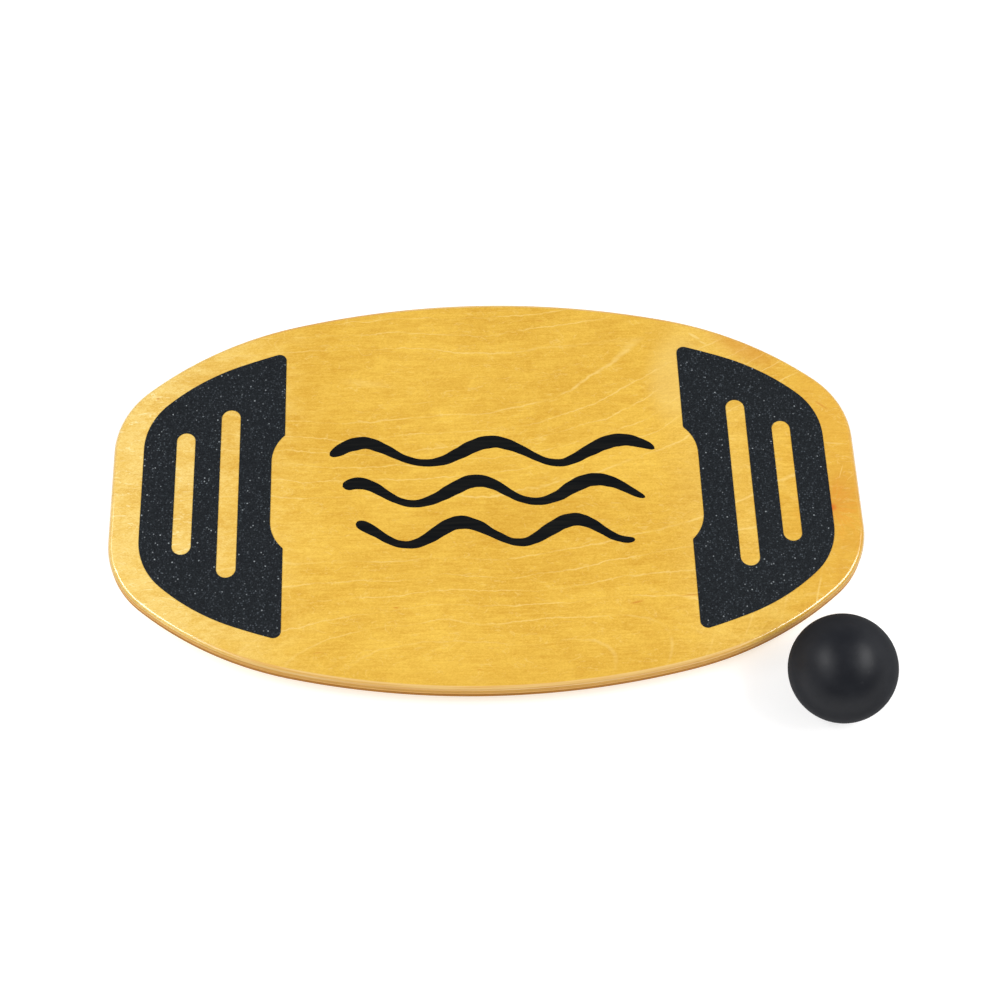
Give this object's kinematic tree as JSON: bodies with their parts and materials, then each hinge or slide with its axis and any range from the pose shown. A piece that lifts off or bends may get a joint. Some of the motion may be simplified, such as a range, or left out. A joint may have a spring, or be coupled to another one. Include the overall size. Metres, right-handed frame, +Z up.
{
  "type": "balance board",
  "caption": "Flat oblong plywood balance board with slotted grip pads, a round stop ring beneath the deck and a loose rubber ball that it rocks on.",
  "frame": {"origin": "centre of the stop ring's lower face, on the floor that the board stands on and under the middle of the deck", "axes": "+X along the deck's length, +Y across it towards the back edge, +Z up; the ball lies off the front right-hand corner (+X, -Y)"},
  "size_m": [0.728, 0.4704, 0.1],
  "materials": {
    "varnished_birch": "clear gloss varnish on rotary-cut birch, grain along X",
    "ply_edge_cross_grain": "sanded and varnished edge, cross-laid ply",
    "ply_edge_long_grain": "sanded and varnished edge, long-grain ply",
    "underside_birch": "satin varnished birch",
    "grip_sheet": "gritty anti-slip sheet with fine bright specks",
    "ring_rubber": "moulded matt rubber",
    "screw_steel": "zinc-plated steel",
    "washer_steel": "zinc-plated steel",
    "ball_rubber": "matt rubber"
  },
  "bodies": {
    "board": {"top_veneer": "varnished_birch", "upper_cross_ply": "ply_edge_cross_grain", "core_ply": "ply_edge_long_grain", "lower_cross_ply": "ply_edge_cross_grain", "bottom_veneer": "underside_birch", "left_grip_pad": "grip_sheet", "right_grip_pad": "grip_sheet", "stop_ring": "ring_rubber", "ring_screws": "screw_steel", "ring_washers": "washer_steel"},
    "ball": {"rubber_ball": "ball_rubber"}
  },
  "joints": [
    {"name": "ball_slide", "type": "slide", "parent": "board", "child": "ball", "axis": [0.6, -0.8, 0], "range_m": [0, 0.3]}
  ]
}
